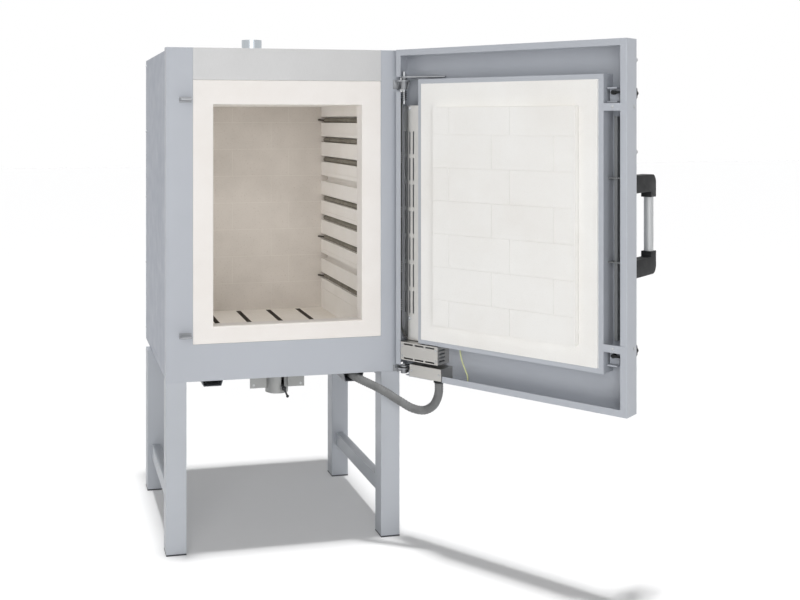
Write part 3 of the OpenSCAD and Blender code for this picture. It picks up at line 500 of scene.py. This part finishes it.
DRESSED = [
    ("front_frame", FRONT_PAINT, 0.0022), ("trim_panel", STEEL_TRIM, 0.0006),
    ("side_panel_left", SHADED_SIDE_PAINT, 0.0008), ("side_panel_right", SHADED_SIDE_PAINT, 0.0008),
    ("roof_panel", SHADED_SIDE_PAINT, 0.0006), ("rear_panel", SHADED_SIDE_PAINT, 0.0005),
    ("collar_bricks", COLLAR, 0.0025), ("door_fibre", DOOR_WHITE, 0.0025), ("door_plug", DOOR_WHITE, 0.0004),
    ("leg_front_left", LEG_PAINT, 0.004), ("leg_front_right", LEG_PAINT, 0.004),
    ("leg_rear_left", LEG_PAINT, 0.004), ("leg_rear_right", LEG_PAINT, 0.004),
    ("rail_left", SHADED_SIDE_PAINT, 0.002), ("rail_right", SHADED_SIDE_PAINT, 0.002),
    ("brace_left", LEG_PAINT, 0.003), ("brace_right", LEG_PAINT, 0.003),
    ("foot_plates", FOOT, 0.001), ("plug_box", FRONT_PAINT, 0.0008), ("plug_webs", WEB_STEEL, 0.0006),
    ("lock_plates", FRONT_PAINT, 0.0008), ("catches", HINGE_STEEL, 0.0012),
    ("hinge_bracket_top", HINGE_STEEL, 0.001), ("hinge_bracket_low", HINGE_STEEL, 0.001),
    ("hinge_arm_top", HINGE_STEEL, 0.001), ("hinge_arm_low", HINGE_STEEL, 0.001),
    ("cable_cover", STEEL_SLOT, 0.0005), ("upper_box", STEEL_BOX, 0.0007), ("lower_box", STEEL_BOX, 0.0007),
    ("handle_bracket_top", BLACK, 0.004), ("handle_bracket_low", BLACK, 0.004),
    ("cable_duct_left", DUCT_SHADED_PAINT, 0.001), ("cable_duct_right", DUCT_SHADED_PAINT, 0.001),
    ("door_pan", FRONT_PAINT, 0.0008),
]
for node, mat, width in DRESSED:
    bevelled(node, mat, width)

KEPT = [
    ("wall_bricks_left", WALL_LIGHT), ("wall_bricks_right", WALL_LIGHT), ("rear_wall_bricks", WALL_REAR),
    ("ceiling_bricks", WALL_LIGHT), ("backup_insulation", BOARD),
    ("floor_pan", ZINC), ("exhaust_pipe", PIPE_STEEL), ("air_inlet_housing", DULL_STEEL),
    ("air_slide", BLACK_STEEL), ("hinge_pin_top", ZINC), ("hinge_pin_low", ZINC), ("conduit_gland", BLACK),
    ("lock_top", BLACK), ("lock_low", BLACK), ("handle_tube", ALU), ("hinge_spring", SPRING),
    ("elements_hearth", HEARTH_WIRE_SHADED),
]
for node, mat in KEPT:
    keep(node, mat)

HEARTH_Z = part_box("rear_wall_bricks")[0][2]


def in_hearth_slot(spot):
    """Whether a face of the hearth bricks is a wall or floor of an element slot."""
    sunk = HEARTH_Z - 0.040 < spot.z < HEARTH_Z - 0.001
    return sunk and abs(spot.x - OPENING_X) < 0.30 and abs(spot.y) < 0.365


# The slot walls and floors take the dark brick: painted shade, with some real oxide.
two_material_copy("hearth_bricks", HEARTH, SLOT_SHADE_AND_OXIDE, in_hearth_slot)


# Heating elements: wire wound on ceramic tubes

CHAMBER_Y0 = FRONT_Y + 0.066
CHAMBER_D = 0.687
GROOVE_PITCH = 0.0845
GROOVE_TOP = 1.538
GROOVE_IN = CHAMBER_HALF_W + 0.030 - 0.013
HEATED = (0, 1, 2, 4, 5, 6, 8)
TAILED = (0, 6, 8)
ROD_DROP = 0.003
CORE_R = 0.0066
COIL_R = 0.0085
WIRE_R = 0.0015
COIL_PITCH = 0.0085
COIL_STEPS = 12
TAIL_R = 0.0035
TAIL_ROUTE = ((0, -0.012, 0), (-0.010, -0.008, 0), (-0.020, -0.003, 0.001), (-0.027, 0.001, 0.002),
              (-0.031, 0.005, 0.002))


def wound_rod(bm_wire, bm_core, bm_tail, x, z, side, tail):
    """One element: a close helix on a ceramic tube, and a tail into the rear corner where it has one."""
    y0 = CHAMBER_Y0 + 0.012
    run = CHAMBER_D - 0.018
    count = int(run / COIL_PITCH) * COIL_STEPS
    points = []
    for i in range(count + 1):
        a = 2 * math.pi * i / COIL_STEPS
        points.append((x + COIL_R * math.cos(a), y0 + i * run / count, z + COIL_R * math.sin(a)))
    tube(bm_wire, points, WIRE_R, 6)
    tube(bm_core, [(x, CHAMBER_Y0 + 0.006, z), (x, CHAMBER_Y0 + CHAMBER_D - 0.003, z)], CORE_R, 16)
    if tail:
        end = Vector((x, y0 + run, z))
        route = [end + Vector((side * dx, dy, dz)) for dx, dy, dz in TAIL_ROUTE]
        tube(bm_tail, curve_points(route, 16), TAIL_R, 8)


def make_elements(side, node):
    """The seven elements of one wall, as wires, tubes and tails."""
    bm_wire, bm_core, bm_tail = bmesh.new(), bmesh.new(), bmesh.new()
    x = OPENING_X + side * GROOVE_IN
    for k in HEATED:
        z = GROOVE_TOP - k * GROOVE_PITCH - ROD_DROP
        wound_rod(bm_wire, bm_core, bm_tail, x, z, side, k in TAILED)
    wire = from_bmesh(node + "_wire", bm_wire, WIRE, smooth=True)
    core = from_bmesh(node + "_tubes", bm_core, CERAMIC, smooth=True)
    tails = from_bmesh(node + "_tails", bm_tail, TAIL, smooth=True)
    for obj in (wire, core, tails):
        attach(obj, "root")
        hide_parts(node)


make_elements(-1, "elements_left")
make_elements(1, "elements_right")


# Mortar in the joints of the rear wall

BRICK_JOINT = 0.0016
COURSE = 0.115
REAR_MARKS = ((-0.151, 0.097), (-0.073, 0.175))


def add_box(bm, low, high):
    spots = [bm.verts.new((x, y, z))
             for z in (low[2], high[2]) for y in (low[1], high[1]) for x in (low[0], high[0])]
    for a, b, c, d in ((0, 1, 3, 2), (4, 5, 7, 6), (0, 1, 5, 4), (2, 3, 7, 6), (0, 2, 6, 4), (1, 3, 7, 5)):
        bm.faces.new([spots[i] for i in (a, b, c, d)])


def make_mortar():
    (_, y, z0), (_, _, z1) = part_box("rear_wall_bricks")
    half = BRICK_JOINT / 2 - 0.00005
    bm = bmesh.new()
    rows = math.ceil((z1 - z0) / COURSE)
    wide = CHAMBER_HALF_W - 0.001
    for r in range(1, rows):
        z = z0 + r * COURSE
        add_box(bm, (OPENING_X - wide, y + 0.0003, z - half), (OPENING_X + wide, y + 0.0015, z + half))
    for r in range(rows):
        for mark in REAR_MARKS[r % 2]:
            x = OPENING_X + mark
            top = min(z0 + (r + 1) * COURSE, z1)
            add_box(bm, (x - half, y + 0.0004, z0 + r * COURSE + half), (x + half, y + 0.0015, top - half))
    obj = from_bmesh("rear_mortar", bm, MORTAR)
    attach(obj, "root")


make_mortar()


# Cable loom beside the slotted cover, with its spiral wraps

LOOM_R = 0.0042
LOOM_WRAPS = (1.40, 1.20, 1.00, 0.86)
WRAP_LENGTH = 0.042
WRAP_TURNS = 6
WRAP_STEPS = 14
WRAP_COIL_R = 0.0047
WRAP_WIRE_R = 0.0011


def make_loom():
    x, y = DOOR_X1 - 0.0075, RIM_Y - 0.026
    route = [(x, y, 1.612), (x, y, 1.590), (x, y, 1.40), (x, y, 1.00), (x, y, 0.80),
             (x - 0.004, y - 0.002, 0.765), (x - 0.016, y - 0.008, 0.742), (x - 0.034, y - 0.010, 0.7312)]
    path = [turned(p) for p in curve_points(route, 96)]
    bm = bmesh.new()
    tube(bm, path, LOOM_R, 16, Vector((1, 0.2, 0)))
    loom = from_bmesh("door_loom", bm, LOOM, smooth=True)
    bm = bmesh.new()
    count = WRAP_TURNS * WRAP_STEPS
    for middle in LOOM_WRAPS:
        points = []
        for i in range(count + 1):
            a = 2 * math.pi * i / WRAP_STEPS
            z = middle - WRAP_LENGTH / 2 + WRAP_LENGTH * i / count
            points.append(turned((x + WRAP_COIL_R * math.cos(a), y + WRAP_COIL_R * math.sin(a), z)))
        tube(bm, points, WRAP_WIRE_R, 6)
    wrap = from_bmesh("door_loom_wraps", bm, WRAP, smooth=True)
    for obj, name in ((loom, "black_plastic"), (wrap, "conduit_grey")):
        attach(obj, "door")


make_loom()


# Hand knobs of the two locks, with domed fronts, and two caps on the door's skin

KNOB_SIDES = 80
KNOB_DROP = 0.026
# Each ring's share of the rim's radius, and its distance from the door's skin
KNOB_RINGS = ((0.55, 0.050), (0.92, 0.0535), (1.0, 0.0565), (1.0, 0.0795), (0.94, 0.0835), (0.72, 0.0865),
              (0.35, 0.0880))
CAP_PROFILE = ((0.0075, 0), (0.0075, 0.017), (0.0062, 0.0195), (0.003, 0.0205))
OUTWARD = door_direction((0, -1, 0))


def scallop(angle):
    """Radius of the hand knob's scalloped rim at an angle."""
    return 0.0266 + 0.0014 * math.cos(10 * angle)


def make_knob(node):
    across = door_direction((1, 0, 0))
    middle = turned((LOCK_X, SKIN_Y, 0))
    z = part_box(node)[1][2] - KNOB_DROP
    bm = bmesh.new()
    loops = []
    for scale, lift in KNOB_RINGS:
        loop = []
        for k in range(KNOB_SIDES):
            a = 2 * math.pi * k / KNOB_SIDES
            r = scallop(a) * scale
            spot = middle + across * (r * math.cos(a)) + OUTWARD * lift
            loop.append(bm.verts.new((spot.x, spot.y, z + r * math.sin(a))))
        loops.append(loop)
    skin(bm, loops)
    knob = from_bmesh(node + "_knob", bm, BLACK, smooth=True)
    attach(knob, body_of_node(node))


def make_caps():
    bm = bmesh.new()
    for z in (1.729, 1.436):
        lathe(bm, CAP_PROFILE, facing(OUTWARD, turned((DOOR_X0 + 0.010, SKIN_Y, z))), 20)
    caps = from_bmesh("skin_caps", bm, ZINC, smooth=True)
    caps.data.set_sharp_from_angle(angle=math.radians(40))
    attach(caps, "door")


make_knob("lock_top")
make_knob("lock_low")
make_caps()


# Screws and bolts

def screw_head(bm, at, direction, radius=0.005, height=0.003):
    """A low domed head with a washer under it."""
    place = facing(direction, at)
    lathe(bm, [(radius * 1.45, 0), (radius * 1.45, 0.0008), (radius, 0.0009), (radius, height * 0.6),
               (radius * 0.7, height), (radius * 0.3, height)], place, 18)


def door_screws(bm):
    inward = door_direction((0, 1, 0))
    # the cable cover
    for z in (1.580, 0.8125):
        screw_head(bm, turned((DOOR_X1 - 0.040, RIM_Y - 0.030, z)), inward, 0.0055)
    # the straps across the rim
    for z in (1.579, 0.817):
        screw_head(bm, turned((LOCK_X - 0.008, RIM_Y + 0.002, z)), inward, 0.0035)
        screw_head(bm, turned((DOOR_X0, RIM_Y - 0.055, z)), door_direction((-1, 0, 0)), 0.005)
    # the terminal boxes
    box_y = RIM_Y + 0.006
    for x in (DOOR_X1 - 0.178, DOOR_X1 - 0.034):
        for z in (0.680, 0.717):
            screw_head(bm, turned((x, box_y, z)), inward, 0.0028)
    for x in (DOOR_X1 - 0.190, DOOR_X1 - 0.075):
        screw_head(bm, turned((x, box_y, 0.633)), inward, 0.0028)


def body_screws(bm):
    # side and rear panels
    rear_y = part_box("rear_panel")[1][1]
    side_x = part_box("side_panel_right")[1][0]
    top, low = BODY_TOP - 0.025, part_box("rear_panel")[0][2] + 0.025
    rows = 5
    for i in range(rows):
        z = low + i * (top - low) / (rows - 1)
        for s in (-1, 1):
            screw_head(bm, (s * (side_x - 0.011), rear_y, z), (0, 1, 0), 0.004)
            screw_head(bm, (s * (side_x - 0.030), rear_y, z), (0, 1, 0), 0.004)
            screw_head(bm, (s * side_x, FRONT_Y + 0.060, z), (s, 0, 0), 0.004)
            screw_head(bm, (s * side_x, rear_y - 0.020, z), (s, 0, 0), 0.004)
    # round flange of the exhaust pipe
    pipe_y, bolt_r = FRONT_Y + 0.696, 0.0515
    for i in range(4):
        a = math.pi / 4 + i * math.pi / 2
        at = (OPENING_X + bolt_r * math.cos(a), pipe_y + bolt_r * math.sin(a), BODY_TOP + 0.002)
        screw_head(bm, at, (0, 0, 1), 0.003)
    # flange plates of the air inlet
    plate_x, plate_y, plate_z = OPENING_X - 0.025, FRONT_Y + 0.080, 0.612
    for dx in (-0.088, 0.088):
        for dz in (-0.012, -0.045):
            screw_head(bm, (plate_x + dx, plate_y, plate_z + dz), (0, -1, 0), 0.0028)


def make_screws():
    for body, fill in (("door", door_screws), ("root", body_screws)):
        bm = bmesh.new()
        fill(bm)
        obj = from_bmesh("screws_" + body, bm, ZINC, smooth=True)
        obj.data.set_sharp_from_angle(angle=math.radians(40))
        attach(obj, body)


make_screws()


# Wide heads of the two body brackets, with the strap that stays them

HEAD_SIDES = 40
# The ring's radius and its distance from the head's top, once round its section from the pin's bore
HEAD_SECTION = ((0.0112, -0.006), (0.0195, -0.006), (0.020, -0.0055), (0.020, -0.0005), (0.0195, 0),
                (0.0112, 0))
# Each head's top, and how far below it the strap ends
HEADS = ((1.683, 0.033), (0.632, 0.021))
STRAP = ((-0.0015, -0.005), (0.0015, -0.005), (0.0015, 0.005), (-0.0015, 0.005))


def make_wings():
    bm = bmesh.new()
    for z, drop in HEADS:
        loops = []
        for radius, rise in HEAD_SECTION:
            loop = []
            for k in range(HEAD_SIDES):
                a = 2 * math.pi * k / HEAD_SIDES
                x, y = HINGE.x + radius * math.cos(a), HINGE.y + radius * math.sin(a)
                loop.append(bm.verts.new((x, y, z + rise)))
            loops.append(loop)
        for low, high in zip(loops, loops[1:] + loops[:1]):
            band(bm, low, high)
        ends = (Vector((HINGE.x + 0.0185, HINGE.y, z - 0.005)),
                Vector((HINGE.x + 0.0115, HINGE.y, z - drop + 0.001)))
        skin(bm, [[bm.verts.new(end + Vector((dx, dy, 0))) for dx, dy in STRAP] for end in ends])
    wings = from_bmesh("hinge_wings", bm, HINGE_STEEL, smooth=True)
    wings.data.set_sharp_from_angle(angle=math.radians(30))
    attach(wings, "root")


make_wings()


# Floor, light and background

FLOOR_GLOW = 0.08
FLAG_R = 0.13
FLAG_Z = 3.2
WORLD_LIGHT = 0.27


def camera_like(tree):
    """1 where the ray comes from the camera, a reflection or a transmission."""
    path = tree.nodes.new("ShaderNodeLightPath")
    total = None
    for name in ("Is Camera Ray", "Is Glossy Ray", "Is Transmission Ray"):
        if total is None:
            total = path.outputs[name]
            continue
        node = tree.nodes.new("ShaderNodeMath")
        node.operation = "MAXIMUM"
        tree.links.new(total, node.inputs[0])
        tree.links.new(path.outputs[name], node.inputs[1])
        total = node.outputs[0]
    return total


def make_floor():
    """A pale floor that glows a little for the camera, so that it joins the white background."""
    bm = bmesh.new()
    bmesh.ops.create_grid(bm, x_segments=1, y_segments=1, size=30)
    mat, tree, shader = new_material("studio floor", (0.80, 0.80, 0.80), 0.9)
    shader.inputs["Specular IOR Level"].default_value = 0.0
    glow = tree.nodes.new("ShaderNodeEmission")
    glow.inputs["Color"].default_value = (1, 1, 1, 1)
    add = tree.nodes.new("ShaderNodeAddShader")
    scale = tree.nodes.new("ShaderNodeMath")
    scale.operation = "MULTIPLY"
    scale.inputs[1].default_value = FLOOR_GLOW
    tree.links.new(camera_like(tree), scale.inputs[0])
    tree.links.new(scale.outputs[0], glow.inputs["Strength"])
    out = tree.nodes["Material Output"]
    tree.links.new(shader.outputs[0], add.inputs[0])
    tree.links.new(glow.outputs[0], add.inputs[1])
    tree.links.new(add.outputs[0], out.inputs["Surface"])
    floor = from_bmesh("floor", bm, mat)


def make_flag():
    """A small studio flag above the exhaust pipe, out of view, that keeps the top light off the hearth."""
    middle = under("exhaust_pipe")
    bm = bmesh.new()
    bmesh.ops.create_circle(bm, cap_ends=True, segments=32, radius=FLAG_R)
    flag = from_bmesh("flag", bm, BLACK)
    flag.location = (middle.x, middle.y, FLAG_Z)


def make_world():
    """White to the camera and to reflections, and a soft light for all else."""
    world = bpy.data.worlds.new("studio")
    world.use_nodes = True
    scene.world = world
    tree = world.node_tree
    tree.nodes.clear()
    seen = tree.nodes.new("ShaderNodeBackground")
    seen.inputs["Color"].default_value = (1, 1, 1, 1)
    seen.inputs["Strength"].default_value = 1.0
    lit = tree.nodes.new("ShaderNodeBackground")
    lit.inputs["Color"].default_value = (0.99, 0.99, 1.0, 1)
    lit.inputs["Strength"].default_value = WORLD_LIGHT
    mix = tree.nodes.new("ShaderNodeMixShader")
    out = tree.nodes.new("ShaderNodeOutputWorld")
    tree.links.new(camera_like(tree), mix.inputs[0])
    tree.links.new(lit.outputs[0], mix.inputs[1])
    tree.links.new(seen.outputs[0], mix.inputs[2])
    tree.links.new(mix.outputs[0], out.inputs["Surface"])


def area_light(name, at, target, size, power):
    data = bpy.data.lights.new(name, "AREA")
    data.shape = "RECTANGLE"
    data.size, data.size_y = size
    data.energy = power
    obj = bpy.data.objects.new(name, data)
    obj.location = at
    obj.rotation_euler = (Vector(target) - Vector(at)).to_track_quat("-Z", "Y").to_euler()
    scene.collection.objects.link(obj)


def sun_light(name, power, angle):
    """A sun straight overhead."""
    data = bpy.data.lights.new(name, "SUN")
    data.energy = power
    data.angle = math.radians(angle)
    obj = bpy.data.objects.new(name, data)
    obj.location = (0, 0, 5)
    scene.collection.objects.link(obj)


make_floor()
make_flag()
make_world()
area_light("key", (-1.7, -5.8, 3.2), (0.1, 0, 1.0), (3.0, 3.0), 96)
area_light("front", (0.5, -6.2, 1.3), (0.2, 0, 1.1), (2.4, 1.6), 34)
area_light("chamber", (-0.262, 0.02, 1.14), (1.0, 0.02, 1.12), (0.55, 0.75), 0.72)
sun_light("top", 2.75, 5)
